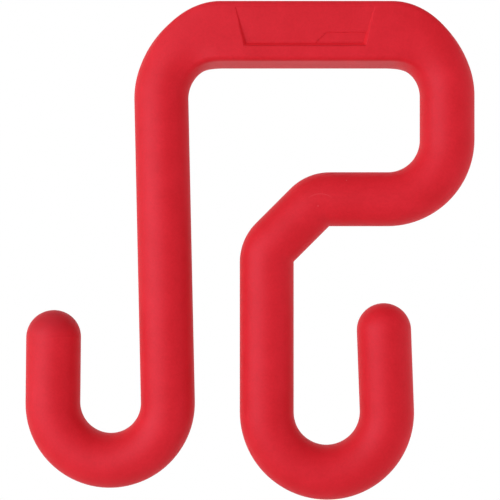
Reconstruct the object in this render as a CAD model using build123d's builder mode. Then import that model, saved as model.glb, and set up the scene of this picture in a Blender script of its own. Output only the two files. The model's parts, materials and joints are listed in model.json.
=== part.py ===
from build123d import *
from math import atan2, cos, pi, radians, sin
import os

# Bucket hook, moulded in one piece. A flat-sided bar sits over a bucket's rim and turns down at both ends
# into round rod. The left leg ends in a hook. The right leg turns back under the bar, so that the rim is
# held in a pocket, then steps down beside the left leg and ends in a second hook.
# Millimetres. X runs along the bar, Z up from the seat under the bar, and the front face is at -Y.

# Sections of the rod and of the bar, which is as thick as the rod
rod_diameter = 25.0
bar_depth = 27.3
bar_edge_radius = 2.8

# Pocket for the rim, between the two legs and between the bar and the arm under it
pocket_width = 107.2
pocket_height = 49.7
left_corner_radius = 15.6
right_corner_radius = 14.6
return_corner_radius = 15.0

# Degrees of a pocket corner's turn over which its section changes from the bar's to the rod's, and degrees at
# each end of that stretch where the section is held so that the change eases in and out
corner_change = 74.0
corner_ease = 2.0

# Slot for the bucket's wall, between the left leg and the leg of the right hook
wall_slot_width = 23.75

# Knee, the slanted step from the arm down to the leg of the right hook
knee_run = 23.7
knee_drop = 23.7
knee_inner_radius = 0.5

# Left hook: how far its cradle lies below the seat, how far its tip stands above the cradle, and how many
# degrees its leg leans into the slot and its tip leans towards the leg
left_hook_depth = 170.5
left_hook_radius = 14.1
left_tip_height = 57.0
left_leg_lean = 1.23
left_tip_lean = 0.6

# Right hook, measured in the same way, with an upright leg
right_hook_depth = 176.0
right_hook_radius = 15.3
right_tip_height = 65.7
right_tip_lean = 2.1

# Recess in the front of the bar. Its floor slopes in towards the lower edge and ends in a sunken tab.
recess_top_width = 63.1
recess_bottom_width = 55.5
recess_center = -0.25
recess_bottom = 6.6
recess_height = 17.6
recess_depth = 2.0
recess_top_depth = 0.12
recess_draft = 40.0
tab_height = 6.3
tab_start = 9.6
tab_slant = 3.55
tab_depth = 0.4

rod_radius = rod_diameter / 2
seat_start = left_corner_radius - pocket_width / 2
seat_end = pocket_width / 2 - right_corner_radius


def bar_section(plane):
    with BuildSketch(plane) as section:
        RectangleRounded(bar_depth, rod_diameter, bar_edge_radius)
    return section.sketch


# The rod's circle, cut into arcs that each have the share of the outline that a flat or an edge round has
# on the bar, so that a corner's faces run from one to the other without a twist
def rod_section(plane):
    upright_flat = bar_depth - 2 * bar_edge_radius
    level_flat = rod_diameter - 2 * bar_edge_radius
    edge_round = pi * bar_edge_radius / 2
    outline = 2 * (upright_flat + level_flat) + 4 * edge_round
    start = -180 * level_flat / outline
    with BuildSketch(plane) as section:
        with BuildLine():
            for stretch in (level_flat, edge_round, upright_flat, edge_round) * 2:
                size = 360 * stretch / outline
                CenterArc((0, 0), rod_radius, start, size)
                start += size
        make_face()
    return section.sketch


# Plane across a pocket corner after some degrees of its turn, on the left (side -1) or the right (side 1),
# with its centre in the middle of a section of the given depth
def corner_plane(side, radius, turn, depth):
    angle = radians(turn)
    outward = Vector(side * sin(angle), 0, cos(angle))
    along = Vector(side * cos(angle), 0, -sin(angle))
    center = Vector(side * (pocket_width / 2 - radius), 0, -radius)
    return Plane(center + outward * (radius + depth / 2), x_dir=outward, z_dir=along)


# Sections along the changing stretch of a pocket corner, the bar's twice and then the rod's twice
def corner_sections(side, radius):
    bar_turns = (0, corner_ease)
    rod_turns = (corner_change - corner_ease, corner_change)
    return [bar_section(corner_plane(side, radius, turn, bar_depth)) for turn in bar_turns] + [
        rod_section(corner_plane(side, radius, turn, rod_diameter)) for turn in rod_turns
    ]


left_start = corner_plane(-1, left_corner_radius, corner_change, rod_diameter)
right_start = corner_plane(1, right_corner_radius, corner_change, rod_diameter)

# Centre line of the left leg from the round end of its corner, with its hook and the straight part of its tip
left_corner_bend = left_corner_radius + rod_radius
left_bend_radius = left_hook_radius + rod_radius
left_leg_end = left_hook_radius - left_hook_depth + left_bend_radius * sin(radians(left_leg_lean))
left_tip_level = left_tip_height - left_hook_depth - rod_radius

with BuildLine(Plane.XZ) as left_path:
    rest_of_turn = 90 + left_leg_lean - corner_change
    corner = JernArc(left_start.origin, left_start.z_dir, left_corner_bend, rest_of_turn)
    fall = (left_leg_end - (corner @ 1).Z) / (corner % 1).Z
    leg = Line(corner @ 1, corner @ 1 + (corner % 1) * fall)
    bend = JernArc(leg @ 1, leg % 1, left_bend_radius, -(180 + left_leg_lean + left_tip_lean))
    rise = (left_tip_level - (bend @ 1).Z) / (bend % 1).Z
    Line(bend @ 1, bend @ 1 + (bend % 1) * rise)

# Centre line of the right leg from its corner, with the arm under the bar, the knee, the hook and its tip
right_leg_center = pocket_width / 2 + rod_radius
arm_level = -pocket_height - rod_radius
hook_leg_center = wall_slot_width - pocket_width / 2 + rod_radius
right_bend_level = right_hook_radius - right_hook_depth
right_tip_level = right_tip_height - right_hook_depth - rod_radius
return_bend_radius = return_corner_radius + rod_radius
knee_bend_radius = knee_inner_radius + rod_radius

with BuildLine(Plane.XZ) as right_path:
    JernArc(right_start.origin, right_start.z_dir, right_corner_radius + rod_radius, corner_change - 90)
    run = FilletPolyline(
        (right_leg_center, -right_corner_radius),
        (right_leg_center, arm_level),
        (hook_leg_center + knee_run, arm_level),
        (hook_leg_center, arm_level - knee_drop),
        (hook_leg_center, right_bend_level),
        radius=[return_bend_radius, knee_bend_radius, knee_bend_radius],
    )
    bend = JernArc(run @ 1, run % 1, right_hook_radius + rod_radius, 180 + right_tip_lean)
    rise = (right_tip_level - (bend @ 1).Z) / (bend % 1).Z
    Line(bend @ 1, bend @ 1 + (bend % 1) * rise)

# Cutter for the recess: drafted walls as deep as the tab, less the floor that stands above it beside the tab
recess_top = recess_bottom + recess_height
floor_slope = atan2(recess_depth - recess_top_depth, recess_height)
floor_plane = Plane(
    (recess_center, recess_top_depth - rod_radius, recess_top),
    x_dir=(1, 0, 0),
    z_dir=(0, -cos(floor_slope), -sin(floor_slope)),
)
tab_top = tab_height - recess_height

with BuildPart() as recess:
    with BuildSketch(Plane.XZ.offset(rod_radius)):
        with BuildLine():
            Polyline(
                (recess_center - recess_bottom_width / 2, recess_bottom),
                (recess_center + recess_bottom_width / 2, recess_bottom),
                (recess_center + recess_top_width / 2, recess_top),
                (recess_center - recess_top_width / 2, recess_top),
                close=True,
            )
        make_face()
    extrude(amount=-(recess_depth + tab_depth), taper=recess_draft)
    split(bisect_by=floor_plane.offset(-tab_depth), keep=Keep.TOP)
    with BuildSketch(floor_plane):
        Rectangle(2 * recess_top_width, 4 * recess_height)
        with BuildLine():
            Polyline(
                (tab_start, tab_top),
                (recess_top_width, tab_top),
                (recess_top_width, tab_top - 2 * tab_height),
                (tab_start - 2 * tab_slant, tab_top - 2 * tab_height),
                close=True,
            )
        make_face(mode=Mode.SUBTRACT)
    extrude(amount=-2 * tab_depth, mode=Mode.SUBTRACT)

with BuildPart() as hook:
    with BuildSketch(Plane.YZ.offset(seat_start)):
        with Locations((0, bar_depth / 2)):
            RectangleRounded(rod_diameter, bar_depth, bar_edge_radius)
    extrude(amount=seat_end - seat_start)

    for side, radius in ((-1, left_corner_radius), (1, right_corner_radius)):
        with BuildLine(Plane.XZ) as corner_path:
            corner_center = (side * (pocket_width / 2 - radius), -radius)
            CenterArc(corner_center, radius + rod_radius, 90, -side * corner_change)
        sweep(corner_sections(side, radius), path=corner_path.line, multisection=True)

    for path in (left_path.line, right_path.line):
        with BuildSketch(Plane(path @ 0, z_dir=path % 0)):
            Circle(rod_radius)
        sweep(path=path)
        with Locations(Plane(path @ 1, z_dir=path % 1)):
            Sphere(rod_radius, arc_size1=0, align=(Align.CENTER, Align.CENTER, Align.MIN))

    add(recess.part, mode=Mode.SUBTRACT)

os.makedirs("parts", exist_ok=True)
hook.part.label = "bucket_hook"
export_step(hook.part, "parts/bucket_hook.step")
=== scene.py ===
import json
from math import cos, pi, radians, sin, tan

import bmesh
import bpy
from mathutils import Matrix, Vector

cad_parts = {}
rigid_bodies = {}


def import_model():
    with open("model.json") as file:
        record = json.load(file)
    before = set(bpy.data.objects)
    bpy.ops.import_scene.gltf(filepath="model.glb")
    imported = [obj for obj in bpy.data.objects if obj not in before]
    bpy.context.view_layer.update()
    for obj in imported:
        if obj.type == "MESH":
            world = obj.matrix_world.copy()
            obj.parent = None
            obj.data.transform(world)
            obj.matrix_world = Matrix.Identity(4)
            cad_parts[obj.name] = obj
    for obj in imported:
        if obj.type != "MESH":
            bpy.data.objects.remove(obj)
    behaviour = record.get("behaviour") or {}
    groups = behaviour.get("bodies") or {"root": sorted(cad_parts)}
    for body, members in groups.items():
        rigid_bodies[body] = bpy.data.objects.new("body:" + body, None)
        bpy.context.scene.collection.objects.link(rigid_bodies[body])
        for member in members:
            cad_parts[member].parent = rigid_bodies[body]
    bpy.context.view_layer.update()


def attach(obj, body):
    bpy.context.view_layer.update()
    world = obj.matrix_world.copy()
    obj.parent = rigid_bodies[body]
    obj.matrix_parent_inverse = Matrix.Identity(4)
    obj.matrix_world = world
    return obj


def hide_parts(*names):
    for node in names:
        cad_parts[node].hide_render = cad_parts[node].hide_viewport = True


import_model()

mm = 0.001

# Sizes of the hook in millimetres and degrees, the same as the solid's
hookSizes = {
    "rod": 25.0, "barDepth": 27.3, "barEdge": 2.8,
    "pocketWidth": 107.2, "pocketHeight": 49.7,
    "leftCorner": 15.6, "rightCorner": 14.6, "returnCorner": 15.0,
    "cornerChange": 74.0, "cornerEase": 2.0,
    "wallSlot": 23.75, "kneeRun": 23.7, "kneeTurn": 45.0, "kneeInner": 0.5,
    "leftDepth": 170.5, "leftHook": 14.1, "leftTip": 57.0, "leftLean": 1.23, "leftTipLean": 0.6,
    "rightDepth": 176.0, "rightHook": 15.3, "rightTip": 65.7, "rightTipLean": 2.1,
}
# How finely the hook is divided: cuts in a flat and steps in an edge round of the bar's outline, then
# millimetres between rings on a run, degrees between rings on a bend, and rings on the corners, knee and
# domes. Points nearer than weld are one. Edges flatter than smoothAngle look smooth.
hookMesh = {
    "flatCuts": 11, "edgeSteps": 8, "ringGap": 4.0, "ringTurn": 3.6,
    "cornerRings": 30, "cornerRestRings": 7, "kneeRings": 18, "domeRings": 16,
    "barEnd": 1.5, "weld": 0.0001, "smoothAngle": 32.0,
}

rodRadius = hookSizes["rod"] / 2
halfPocket = hookSizes["pocketWidth"] / 2
seatStart = hookSizes["leftCorner"] - halfPocket
seatEnd = halfPocket - hookSizes["rightCorner"]


# selects vertices, edges or faces of the mesh in edit mode by a test on each one, and nothing else
def choose(kind, test):
    bpy.ops.mesh.select_all(action="DESELECT")
    bpy.ops.mesh.select_mode(type=kind)
    meshData = bmesh.from_edit_mesh(bpy.context.object.data)
    parts = {"VERT": meshData.verts, "EDGE": meshData.edges, "FACE": meshData.faces}[kind]
    for part in parts:
        if test(part):
            part.select_set(True)
    meshData.select_flush_mode()
    bmesh.update_edit_mesh(bpy.context.object.data)


# the chosen ring is drawn out along a line of runs and turns; pen keeps its centre and its way
pen = {}


def runOn(length, cuts=None):
    cuts = cuts or max(1, round(length / hookMesh["ringGap"]))
    step = pen["way"] * length * mm / cuts
    for _ in range(cuts):
        bpy.ops.mesh.extrude_region_move(TRANSFORM_OT_translate={"value": step})
    pen["at"] = pen["at"] + pen["way"] * length


def runToLevel(level):
    runOn((level - pen["at"].z) / pen["way"].z)


# degrees above zero turn to the right hand, seen from the front
def turn(radius, degrees, cuts=None):
    cuts = cuts or max(1, round(abs(degrees) / hookMesh["ringTurn"]))
    way = pen["way"]
    side = 1 if degrees > 0 else -1
    centre = pen["at"] + Vector((way.z, 0, -way.x)) * side * radius
    bpy.ops.mesh.spin(steps=cuts, angle=-radians(degrees), center=centre * mm, axis=(0, 1, 0))
    angle = radians(degrees)
    pen["way"] = Vector((way.x * cos(angle) + way.z * sin(angle), 0,
                         way.z * cos(angle) - way.x * sin(angle)))
    pen["at"] = centre - Vector((pen["way"].z, 0, -pen["way"].x)) * side * radius


# size of the chosen ring, across the way it runs and front to back
def ringSpan(across):
    meshData = bmesh.from_edit_mesh(bpy.context.object.data)
    places = [v.co.copy() for v in meshData.verts if v.select]
    reach = [p.dot(across) for p in places]
    return max(reach) - min(reach), max(p.y for p in places) - min(p.y for p in places)


# pocket corner: the bar's section goes over to the rod's while the ring is spun
def pocketCorner(radius, side):
    change, ease, rings = hookSizes["cornerChange"], hookSizes["cornerEase"], hookMesh["cornerRings"]
    step = -radians(side * change / rings)
    centre = pen["at"] + Vector((0, 0, -radius - hookSizes["barDepth"] / 2))
    depth, rounded = hookSizes["barDepth"], 0.0
    for ring in range(1, rings + 1):
        bpy.ops.mesh.spin(steps=1, angle=step, center=centre * mm, axis=(0, 1, 0))
        turned = change * ring / rings
        outward = Vector((side * sin(radians(turned)), 0, cos(radians(turned))))
        share = min(1, max(0, (turned - ease) / (change - 2 * ease)))
        roundness = share * share * (3 - 2 * share)
        newDepth = hookSizes["barDepth"] + (hookSizes["rod"] - hookSizes["barDepth"]) * roundness
        middle = (centre + outward * (radius + depth / 2)) * mm
        if roundness > rounded:
            bpy.ops.transform.tosphere(value=(roundness - rounded) / (1 - rounded), center_override=middle)
        across, thick = ringSpan(outward)
        grow = newDepth * mm / across
        bpy.ops.transform.resize(
            value=(grow, hookSizes["rod"] * mm / thick, grow), center_override=middle)
        bpy.ops.transform.translate(value=outward * (newDepth - depth) / 2 * mm)
        depth, rounded = newDepth, roundness
    pen["way"] = Vector((outward.z, 0, -outward.x)) * side
    pen["at"] = centre + outward * (radius + rodRadius)


# dome on the end of a tip, closed in a point
def roundTip():
    rings = hookMesh["domeRings"]
    for ring in range(1, rings + 1):
        before, now = pi / 2 * (ring - 1) / rings, pi / 2 * ring / rings
        forward = rodRadius * (sin(now) - sin(before))
        bpy.ops.mesh.extrude_region_move(TRANSFORM_OT_translate={"value": pen["way"] * forward * mm})
        pen["at"] = pen["at"] + pen["way"] * forward
        if ring < rings:
            bpy.ops.transform.resize(value=(cos(now) / cos(before),) * 3, center_override=pen["at"] * mm)
    bpy.ops.mesh.merge(type="CENTER")


# Bar: the outline of its section, rounded at the edges and divided along the flats
bpy.ops.object.select_all(action="DESELECT")
barMiddle = hookSizes["barDepth"] / 2
bpy.ops.mesh.primitive_plane_add(size=1, location=(seatStart * mm, 0, barMiddle * mm),
                                 rotation=(0, pi / 2, 0))
hookBody = bpy.context.object
hookBody.name = "hookBody"
hookBody.scale = (hookSizes["barDepth"] * mm, hookSizes["rod"] * mm, 1)
bpy.ops.object.transform_apply(location=True, rotation=True, scale=True)
bpy.ops.object.mode_set(mode="EDIT")
bpy.ops.mesh.select_all(action="SELECT")
bpy.ops.mesh.bevel(offset=hookSizes["barEdge"] * mm, offset_type="ABSOLUTE", affect="VERTICES",
                   segments=hookMesh["edgeSteps"], profile=0.5)
bpy.ops.mesh.select_all(action="SELECT")
bpy.ops.mesh.delete(type="ONLY_FACE")
choose("EDGE", lambda edge: edge.calc_length() > hookSizes["barEdge"] * mm)
bpy.ops.mesh.subdivide(number_cuts=hookMesh["flatCuts"])
bpy.ops.mesh.select_all(action="SELECT")

# Right side: bar, pocket corner, leg, return under the bar, knee, hook and tip
pen.update(at=Vector((seatStart, 0, barMiddle)), way=Vector((1, 0, 0)))
barEnd = hookMesh["barEnd"]
for stretch in (barEnd, seatEnd - seatStart - 2 * barEnd, barEnd):
    runOn(stretch, 1)
pocketCorner(hookSizes["rightCorner"], 1)
cornerRest = 90 - hookSizes["cornerChange"]
turn(hookSizes["rightCorner"] + rodRadius, cornerRest, hookMesh["cornerRestRings"])
armLevel = -hookSizes["pocketHeight"] - rodRadius
returnBend = hookSizes["returnCorner"] + rodRadius
runToLevel(armLevel + returnBend)
turn(returnBend, 90)
kneeBend = hookSizes["kneeInner"] + rodRadius
kneeTurn = hookSizes["kneeTurn"]
upperCut = kneeBend * tan(radians(kneeTurn / 2))
lowerCut = kneeBend * tan(radians((90 - kneeTurn) / 2))
hookLeg = hookSizes["wallSlot"] - halfPocket + rodRadius
runOn(pen["at"].x - (hookLeg + hookSizes["kneeRun"]) - upperCut)
turn(kneeBend, -kneeTurn, hookMesh["kneeRings"])
runOn(hookSizes["kneeRun"] / cos(radians(kneeTurn)) - upperCut - lowerCut)
turn(kneeBend, kneeTurn - 90, hookMesh["kneeRings"])
runToLevel(hookSizes["rightHook"] - hookSizes["rightDepth"])
turn(hookSizes["rightHook"] + rodRadius, -180 - hookSizes["rightTipLean"])
runToLevel(hookSizes["rightTip"] - hookSizes["rightDepth"] - rodRadius)
roundTip()
print("right side drawn, tip at", [round(v, 2) for v in pen["at"]])

# Left side, from the other end of the bar: pocket corner, leg, hook and tip
choose("VERT", lambda vert: abs(vert.co.x - seatStart * mm) < hookMesh["weld"] * mm)
pen.update(at=Vector((seatStart, 0, barMiddle)), way=Vector((-1, 0, 0)))
pocketCorner(hookSizes["leftCorner"], -1)
leftLean = hookSizes["leftLean"]
turn(hookSizes["leftCorner"] + rodRadius, -cornerRest - leftLean, hookMesh["cornerRestRings"])
leftBend = hookSizes["leftHook"] + rodRadius
runToLevel(hookSizes["leftHook"] - hookSizes["leftDepth"] + leftBend * sin(radians(leftLean)))
turn(leftBend, 180 + leftLean + hookSizes["leftTipLean"])
runToLevel(hookSizes["leftTip"] - hookSizes["leftDepth"] - rodRadius)
roundTip()
print("left side drawn, tip at", [round(v, 2) for v in pen["at"]])

bpy.ops.mesh.select_all(action="SELECT")
bpy.ops.mesh.remove_doubles(threshold=hookMesh["weld"] * mm)
bpy.ops.mesh.normals_make_consistent(inside=False)

# Recess in the bar's front, in millimetres and degrees. Its rim and its floor's edges are rounded, but for
# the topmost stretch, where the floor runs out.
recess = {
    "topWidth": 63.1, "bottomWidth": 55.5, "centre": -0.25, "bottom": 6.6, "height": 17.6,
    "depth": 2.0, "topDepth": 0.12, "draft": 40.0,
    "tabHeight": 6.3, "tabStart": 9.6, "tabSlant": 3.55, "tabDepth": 0.4,
    "rimRound": 0.25, "floorRound": 0.15, "roundSteps": 3, "sharpTop": 0.6,
}
# What counts, in millimetres, as in the front face and as near it, then as one point; the share of a normal
# that points ahead on a flat and on the floor; and the angle in degrees from which an edge is rounded
recessLimits = {
    "inFace": 0.001, "nearFace": 0.05, "onePoint": 0.002,
    "flatFacing": 0.999, "floorFacing": 0.99, "edge": 20.0,
}
recessTop = recess["bottom"] + recess["height"]
sideLean = (recess["topWidth"] - recess["bottomWidth"]) / 2 / recess["height"]
wallRun = tan(radians(recess["draft"]))
floorRise = (recess["depth"] - recess["topDepth"]) / recess["height"]
lowDepth = recess["depth"] / (1 + floorRise * wallRun)
highDepth = recess["topDepth"] / (1 - floorRise * wallRun)
halfWidth = recess["topWidth"] / 2
nearFace = -rodRadius + recessLimits["nearFace"]


def onBarFront(face):
    middle = face.calc_center_median() / mm
    inBar = seatStart + barEnd < middle.x < seatEnd - barEnd
    betweenEdges = hookSizes["barEdge"] < middle.z < hookSizes["barDepth"] - hookSizes["barEdge"]
    ahead = middle.y < nearFace and face.normal.y < -recessLimits["flatFacing"]
    return inBar and betweenEdges and ahead


def inMiddle(face):
    return onBarFront(face) and abs(face.calc_center_median().x) < recess["bottomWidth"] / 4 * mm


def cutAlong(test, place, normal):
    choose("FACE", test)
    bpy.ops.mesh.bisect(plane_co=Vector(place) * mm, plane_no=normal)


# the bar's front flat is made one face, cut along the recess's four lines, and the middle is sunk so that
# its walls have draft
choose("FACE", onBarFront)
bpy.ops.mesh.dissolve_faces()
for side in (-1, 1):
    foot = (recess["centre"] + side * recess["bottomWidth"] / 2, 0, recess["bottom"])
    cutAlong(onBarFront, foot, (1, 0, -side * sideLean))
for level in (recess["bottom"], recessTop):
    cutAlong(inMiddle, (0, 0, level), (0, 0, 1))
choose("FACE", lambda face: inMiddle(face)
       and recess["bottom"] < face.calc_center_median().z / mm < recessTop)
bpy.ops.mesh.inset(thickness=lowDepth * wallRun * mm, depth=-lowDepth * mm)

# the floor's upper edge comes up towards the face, so that the floor slopes in towards the lower edge
lift = lowDepth - highDepth
outward = lift * wallRun * (sideLean + (1 + sideLean ** 2) ** 0.5)
floorMiddle = recess["bottom"] + recess["height"] / 2


def onUpperFloor(vert):
    spot = vert.co / mm
    onLevel = abs(spot.y + rodRadius - lowDepth) < recessLimits["nearFace"]
    return onLevel and floorMiddle < spot.z < recessTop and abs(spot.x) < halfWidth


for side in (-1, 1):
    choose("VERT", lambda vert: onUpperFloor(vert) and vert.co.x * side > 0)
    bpy.ops.transform.translate(value=Vector((side * outward, -lift, lift * wallRun)) * mm)

# sunken tab in the floor's lower right corner
tabTop = recess["bottom"] + recess["tabHeight"]
tabCorner = (recess["centre"] + recess["tabStart"], 0, tabTop)


def onFloor(face):
    middle = face.calc_center_median() / mm
    inDepth = nearFace < middle.y < -rodRadius + recess["depth"]
    inReach = abs(middle.x) < halfWidth and middle.z > 0
    return face.normal.y < -recessLimits["floorFacing"] and inDepth and inReach


def onLowerFloor(face):
    return onFloor(face) and face.calc_center_median().z < tabTop * mm


cutAlong(onFloor, tabCorner, (0, 0, 1))
cutAlong(onLowerFloor, tabCorner, (recess["tabHeight"], 0, -recess["tabSlant"]))
choose("FACE", lambda face: onLowerFloor(face) and face.calc_center_median().x > tabCorner[0] * mm)
bpy.ops.mesh.extrude_region_move(TRANSFORM_OT_translate={"value": (0, recess["tabDepth"] * mm, 0)})


# edges that the mould leaves slightly round, all but those along the top, where the floor runs out
def inRecess(edge):
    middle = (edge.verts[0].co + edge.verts[1].co) / 2 / mm
    inHeight = recess["bottom"] - recessLimits["nearFace"] < middle.z < recessTop - recess["sharpTop"]
    near = abs(middle.x) < halfWidth and inHeight and middle.y < 0
    return near and edge.is_manifold and edge.calc_face_angle() > radians(recessLimits["edge"])


def onRim(edge):
    deepest = max(vert.co.y for vert in edge.verts) / mm
    return inRecess(edge) and deepest < -rodRadius + recessLimits["inFace"]


choose("EDGE", lambda edge: inRecess(edge) and not onRim(edge))
bpy.ops.mesh.bevel(offset=recess["floorRound"] * mm, segments=recess["roundSteps"], affect="EDGES")
choose("EDGE", onRim)
bpy.ops.mesh.bevel(offset=recess["rimRound"] * mm, segments=recess["roundSteps"], affect="EDGES")
bpy.ops.mesh.select_all(action="SELECT")
bpy.ops.mesh.remove_doubles(threshold=recessLimits["onePoint"] * mm)  # the rounds end in points at the top
print("recess cut")

bpy.ops.object.mode_set(mode="OBJECT")
bpy.ops.object.shade_smooth_by_angle(angle=radians(hookMesh["smoothAngle"]))
bpy.ops.object.modifier_add(type="WEIGHTED_NORMAL")  # keeps the flats and long runs even beside the bends
evenNormals = hookBody.modifiers[-1]
evenNormals.keep_sharp = True
bpy.ops.object.modifier_apply(modifier=evenNormals.name)
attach(hookBody, "root")
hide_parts("bucket_hook")
print("hook body:", len(hookBody.data.vertices), "points,", len(hookBody.data.polygons), "faces")


# sRGB hex to linear colour
def colour(hexText):
    shares = [int(hexText[place:place + 2], 16) / 255 for place in (0, 2, 4)]
    return [c / 12.92 if c <= 0.04045 else ((c + 0.055) / 1.055) ** 2.4 for c in shares] + [1]


# adds a node with its settings, by name for its own and by name or number for its sockets, and its links
def addNode(tree, kind, settings=None, links=None):
    node = tree.nodes.new(kind)
    for name, value in (settings or {}).items():
        if isinstance(name, str) and hasattr(node, name):
            setattr(node, name, value)
        else:
            node.inputs[name].default_value = value
    for name, source in (links or {}).items():
        tree.links.new(source, node.inputs[name])
    return node


# Polypropylene moulded in a spark-eroded mould: one even red with a satin sheen, whose fine grain breaks up
# the highlights, with slight clouding where the melt flowed, and a parting line round the edge. Sizes in
# millimetres. The real grain is about 0.15 mm; it is drawn at 1.0 so that it shows.
polymer = {
    "light": "E11C29", "dark": "D4101B", "toneRange": (0.60, 1.15),
    "grain": 1.0, "grainShare": 0.75, "grainHeight": 0.12, "grainRange": (0.3, 0.7), "cloud": 16.0,
    "roughness": (0.50, 0.66), "ior": 1.49, "specular": 0.28, "specularTint": "F0E2FF",
    "partingWidth": 0.2, "lineHeight": 1.6, "reliefStrength": 0.6,
}
satinPolymer = bpy.data.materials.new("moulded_polypropylene_satin")
satinPolymer.use_nodes = True
tree = satinPolymer.node_tree
tree.nodes.clear()
metres = addNode(tree, "ShaderNodeTexCoord").outputs["Object"]
place = addNode(tree, "ShaderNodeVectorMath", {"operation": "SCALE", "Scale": 1 / mm},
                {0: metres}).outputs[0]
axes = addNode(tree, "ShaderNodeSeparateXYZ", {}, {0: place}).outputs
grain = addNode(tree, "ShaderNodeTexNoise", {
    "Scale": 1 / polymer["grain"], "Detail": 3.0, "Roughness": 0.7}, {"Vector": place}).outputs[0]
cloud = addNode(tree, "ShaderNodeTexNoise", {
    "Scale": 1 / polymer["cloud"], "Detail": 4.0, "Roughness": 0.6}, {"Vector": place}).outputs[0]
flecks = addNode(tree, "ShaderNodeMath", {"operation": "MULTIPLY_ADD", 1: polymer["grainShare"]},
                 {0: grain, 2: cloud}).outputs[0]
tone = addNode(tree, "ShaderNodeMapRange", {
    "From Min": polymer["toneRange"][0], "From Max": polymer["toneRange"][1]}, {"Value": flecks}).outputs[0]
red = addNode(tree, "ShaderNodeMix", {
    "data_type": "RGBA", 6: colour(polymer["dark"]), 7: colour(polymer["light"])}, {0: tone}).outputs[2]

# left tip: darker above the line that its insert left, in blotches
leftTip = {
    "line": -125.1, "lineWidth": 0.2, "side": -95.0, "tipDarkening": "B01A24", "tipDarkeningShare": 0.62, "fade": 7.0,
    "blotch": 4.0, "blotchRange": (0.3, 0.7), "blotchLeast": 0.6,
}
above = addNode(tree, "ShaderNodeMapRange", {
    "From Min": leftTip["line"], "From Max": leftTip["line"] + leftTip["fade"],
    "To Max": leftTip["tipDarkeningShare"]}, {"Value": axes["Z"]}).outputs[0]
onLeft = addNode(tree, "ShaderNodeMath", {"operation": "LESS_THAN", 1: leftTip["side"]},
                 {0: axes["X"]}).outputs[0]
blotch = addNode(tree, "ShaderNodeTexNoise", {"Scale": 1 / leftTip["blotch"], "Detail": 3.0},
                 {"Vector": place}).outputs[0]
blotchShare = addNode(tree, "ShaderNodeMapRange", {
    "From Min": leftTip["blotchRange"][0], "From Max": leftTip["blotchRange"][1],
    "To Min": leftTip["blotchLeast"]}, {"Value": blotch}).outputs[0]
tipDarkening = above
for limit in (onLeft, blotchShare):
    tipDarkening = addNode(tree, "ShaderNodeMath", {"operation": "MULTIPLY"}, {0: tipDarkening, 1: limit}).outputs[0]
red = addNode(tree, "ShaderNodeMix", {"data_type": "RGBA", 7: colour(leftTip["tipDarkening"])},
              {0: tipDarkening, 6: red}).outputs[2]

# scuffs: specks on the knee and the left tip, each a place and a radius, and an arc that something hard
# scratched across the front of the knee
scuffs = {
    "tone": "F08C94", "share": 0.22, "core": 0.3,
    "specks": [(-7.6, -12.3, -69.9, 0.45), (5.6, -12.3, -65.8, 0.4), (2.7, -9.0, -72.5, 0.5),
               (18.7, -9.4, -54.1, 0.4), (-119.5, -9.5, -125.9, 0.9), (-117.9, -11.0, -125.9, 0.8)],
    "arcCentre": (6.6, 0, -68.9), "arcRadius": 8.6, "arcWidth": 0.22, "arcFoot": -62.4, "arcFade": 1.5,
    "arcShare": 0.28, "arcFront": -8.0,
}
flat = addNode(tree, "ShaderNodeVectorMath", {"operation": "MULTIPLY", 1: (1, 0, 1)},
               {0: place}).outputs[0]
away = addNode(tree, "ShaderNodeVectorMath", {"operation": "DISTANCE", 1: scuffs["arcCentre"]},
               {0: flat}).outputs["Value"]
marks = addNode(tree, "ShaderNodeMath", {
    "operation": "COMPARE", 1: scuffs["arcRadius"], 2: scuffs["arcWidth"]}, {0: away}).outputs[0]
ends = addNode(tree, "ShaderNodeMapRange", {
    "From Min": scuffs["arcFoot"], "From Max": scuffs["arcFoot"] + scuffs["arcFade"],
    "To Max": scuffs["arcShare"]}, {"Value": axes["Z"]}).outputs[0]
front = addNode(tree, "ShaderNodeMath", {"operation": "LESS_THAN", 1: scuffs["arcFront"]},
                {0: axes["Y"]}).outputs[0]
for limit in (ends, front):
    marks = addNode(tree, "ShaderNodeMath", {"operation": "MULTIPLY"}, {0: marks, 1: limit}).outputs[0]
for x, y, z, size in scuffs["specks"]:
    away = addNode(tree, "ShaderNodeVectorMath", {"operation": "DISTANCE", 1: (x, y, z)},
                   {0: place}).outputs["Value"]
    speck = addNode(tree, "ShaderNodeMapRange", {"From Min": size, "From Max": size * scuffs["core"]},
                    {"Value": away}).outputs[0]
    marks = addNode(tree, "ShaderNodeMath", {"operation": "MAXIMUM"}, {0: marks, 1: speck}).outputs[0]
scuffed = addNode(tree, "ShaderNodeMath", {"operation": "MULTIPLY", 1: scuffs["share"]},
                  {0: marks}).outputs[0]
red = addNode(tree, "ShaderNodeMix", {"data_type": "RGBA", 7: colour(scuffs["tone"])},
              {0: scuffed, 6: red}).outputs[2]

# relief: the grain, the parting line at the middle of the edge, and the line under the left tip's dome
fromMiddle = addNode(tree, "ShaderNodeMath", {"operation": "ABSOLUTE"}, {0: axes["Y"]}).outputs[0]
parting = addNode(tree, "ShaderNodeMapRange", {"From Min": polymer["partingWidth"], "From Max": 0.0},
                  {"Value": fromMiddle}).outputs[0]
atLine = addNode(tree, "ShaderNodeMath", {
    "operation": "COMPARE", 1: leftTip["line"], 2: leftTip["lineWidth"]}, {0: axes["Z"]}).outputs[0]
tipLine = addNode(tree, "ShaderNodeMath", {"operation": "MULTIPLY"}, {0: atLine, 1: onLeft}).outputs[0]
lines = addNode(tree, "ShaderNodeMath", {"operation": "MAXIMUM"}, {0: parting, 1: tipLine}).outputs[0]
height = addNode(tree, "ShaderNodeMath", {"operation": "MULTIPLY_ADD", 1: polymer["lineHeight"]},
                 {0: lines, 2: grain}).outputs[0]
relief = addNode(tree, "ShaderNodeBump", {
    "Strength": polymer["reliefStrength"], "Distance": polymer["grainHeight"] * mm},
    {"Height": height}).outputs[0]
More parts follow.
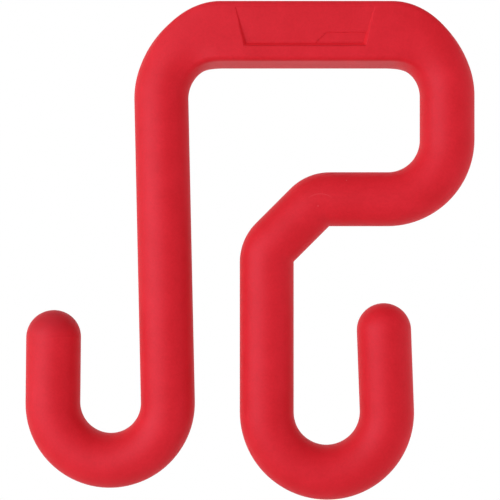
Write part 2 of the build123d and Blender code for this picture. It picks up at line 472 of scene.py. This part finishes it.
gloss = addNode(tree, "ShaderNodeMapRange", {
    "From Min": polymer["grainRange"][0], "From Max": polymer["grainRange"][1],
    "To Min": polymer["roughness"][0], "To Max": polymer["roughness"][1]}, {"Value": grain}).outputs[0]
shader = addNode(tree, "ShaderNodeBsdfPrincipled", {
    "IOR": polymer["ior"], "Specular IOR Level": polymer["specular"],
    "Specular Tint": colour(polymer["specularTint"])},
    {"Base Color": red, "Roughness": gloss, "Normal": relief})
addNode(tree, "ShaderNodeOutputMaterial", {}, {"Surface": shader.outputs["BSDF"]})
hookBody.data.materials.clear()
hookBody.data.materials.append(satinPolymer)
print("polymer made")


# 1 for the rays that show the white background: the camera's, mirrored ones and those that pass through
def backgroundRays(tree):
    rays = addNode(tree, "ShaderNodeLightPath").outputs
    shown = rays["Is Camera Ray"]
    for ray in ("Is Glossy Ray", "Is Transmission Ray"):
        shown = addNode(tree, "ShaderNodeMath", {"operation": "MAXIMUM"},
                        {0: shown, 1: rays[ray]}).outputs[0]
    return shown


# Pale floor under the hanging hook, which fades to white away from it. Metres.
floor = {"level": -0.52, "size": 2.6, "tone": "F4F4F2", "fade": (0.10, 0.60), "nearShare": 0.4}
pureWhite = (1, 1, 1, 1)
bpy.ops.object.select_all(action="DESELECT")
bpy.ops.mesh.primitive_plane_add(size=floor["size"], location=(0, 0, floor["level"]))
floorPlane = bpy.context.object
floorPlane.name = "studioFloor"
bpy.ops.object.transform_apply(location=True, rotation=True, scale=True)
paleFloor = bpy.data.materials.new("studio_floor_matt")
paleFloor.use_nodes = True
tree = paleFloor.node_tree
tree.nodes.clear()
place = addNode(tree, "ShaderNodeTexCoord").outputs["Object"]
flat = addNode(tree, "ShaderNodeVectorMath", {"operation": "MULTIPLY", 1: (1, 1, 0)},
               {0: place}).outputs[0]
away = addNode(tree, "ShaderNodeVectorMath", {"operation": "LENGTH"}, {0: flat}).outputs["Value"]
fade = addNode(tree, "ShaderNodeMapRange", {
    "From Min": floor["fade"][0], "From Max": floor["fade"][1], "To Min": floor["nearShare"],
    "interpolation_type": "SMOOTHSTEP"}, {"Value": away}).outputs[0]
share = addNode(tree, "ShaderNodeMath", {"operation": "MULTIPLY"},
                {0: fade, 1: backgroundRays(tree)}).outputs[0]
matt = addNode(tree, "ShaderNodeBsdfDiffuse", {"Color": colour(floor["tone"])}).outputs[0]
white = addNode(tree, "ShaderNodeEmission", {"Color": pureWhite, "Strength": 1.0}).outputs[0]
mixed = addNode(tree, "ShaderNodeMixShader", {}, {0: share, 1: matt, 2: white}).outputs[0]
addNode(tree, "ShaderNodeOutputMaterial", {}, {"Surface": mixed})
floorPlane.data.materials.append(paleFloor)
print("floor laid")

# Studio: a white background all round, and for the shade a room that is bright at the left front and dim at
# the right rear
studio = {"dim": 0.16, "bright": 0.78, "brightWay": (-0.84, -0.50, -0.22), "start": -0.45}
world = bpy.data.worlds.new("studio")
bpy.context.scene.world = world
world.use_nodes = True
tree = world.node_tree
tree.nodes.clear()
way = addNode(tree, "ShaderNodeTexCoord").outputs["Generated"]
towards = addNode(tree, "ShaderNodeVectorMath", {"operation": "DOT_PRODUCT", 1: studio["brightWay"]},
                  {0: way}).outputs["Value"]
level = addNode(tree, "ShaderNodeMapRange", {
    "From Min": studio["start"], "From Max": 1.0, "To Min": studio["dim"], "To Max": studio["bright"]},
    {"Value": towards}).outputs[0]
room = addNode(tree, "ShaderNodeBackground", {"Color": pureWhite}, {"Strength": level}).outputs[0]
plain = addNode(tree, "ShaderNodeBackground", {"Color": pureWhite, "Strength": 1.0}).outputs[0]
both = addNode(tree, "ShaderNodeMixShader", {}, {0: backgroundRays(tree), 1: room, 2: plain}).outputs[0]
addNode(tree, "ShaderNodeOutputWorld", {}, {"Surface": both})

# Soft lamps: place and size in metres, watts, and what each one lights. The fills lift the shade without
# being mirrored in the rims. The glints stand where the keys do and add to their sheen alone.
lamps = {
    "keyLeft": ((-0.76, -0.48, -0.06), (0.7, 0.6), 2.6, ("shade", "sheen")),
    "keyFront": ((-0.44, -0.78, -0.06), (0.6, 0.8), 1.15, ("shade", "sheen")),
    "fillRight": ((0.75, -0.45, -0.05), (1.1, 1.0), 2.3, ("shade",)),
    "topSoft": ((-0.25, -0.22, 0.70), (0.8, 0.6), 0.8, ("shade", "sheen")),
    "lowBack": ((0.05, 0.55, -0.46), (0.9, 0.3), 0.3, ("shade",)),
    "sideRight": ((0.75, 0.12, -0.05), (0.5, 0.8), 1.1, ("shade",)),
    "glintLeft": ((-0.76, -0.48, -0.06), (0.7, 0.6), 2.6, ("sheen",)),
    "glintFront": ((-0.44, -0.78, -0.06), (0.6, 0.8), 2.5, ("sheen",)),
    "rearSoft": ((-0.15, 0.85, 0.15), (1.2, 1.0), 3.0, ("shade",)),
}
aim = Vector((-0.02, 0, -0.09))
for name, (spot, size, watts, lights) in lamps.items():
    lampData = bpy.data.lights.new(name, "AREA")
    lampData.shape = "RECTANGLE"
    lampData.size, lampData.size_y = size
    lampData.energy = watts
    lamp = bpy.data.objects.new(name, lampData)
    lamp.location = spot
    lamp.rotation_euler = (aim - Vector(spot)).to_track_quat("-Z", "Y").to_euler()
    lamp.visible_camera = False
    lamp.visible_diffuse = "shade" in lights
    lamp.visible_glossy = "sheen" in lights
    bpy.context.scene.collection.objects.link(lamp)
print("studio set")

# Camera at the photograph's viewing angle, a little below the arm. Its lens gives so many pixels for a
# millimetre at its distance from the hook's middle.
camera = {
    "place": (-0.0251, -0.491, -0.0857), "sensor": 36.0, "pixelsPerMm": 2.1598, "distance": 491.0,
    "framePixels": 500,
}
cameraData = bpy.data.cameras.new("camera")
cameraData.sensor_width = camera["sensor"]
cameraData.lens = camera["sensor"] * camera["pixelsPerMm"] * camera["distance"] / camera["framePixels"]
cameraObject = bpy.data.objects.new("camera", cameraData)
cameraObject.location = camera["place"]
cameraObject.rotation_euler = (radians(90), 0, 0)
bpy.context.scene.collection.objects.link(cameraObject)
bpy.context.scene.camera = cameraObject
bpy.context.scene.view_settings.view_transform = "Standard"
print("camera set")
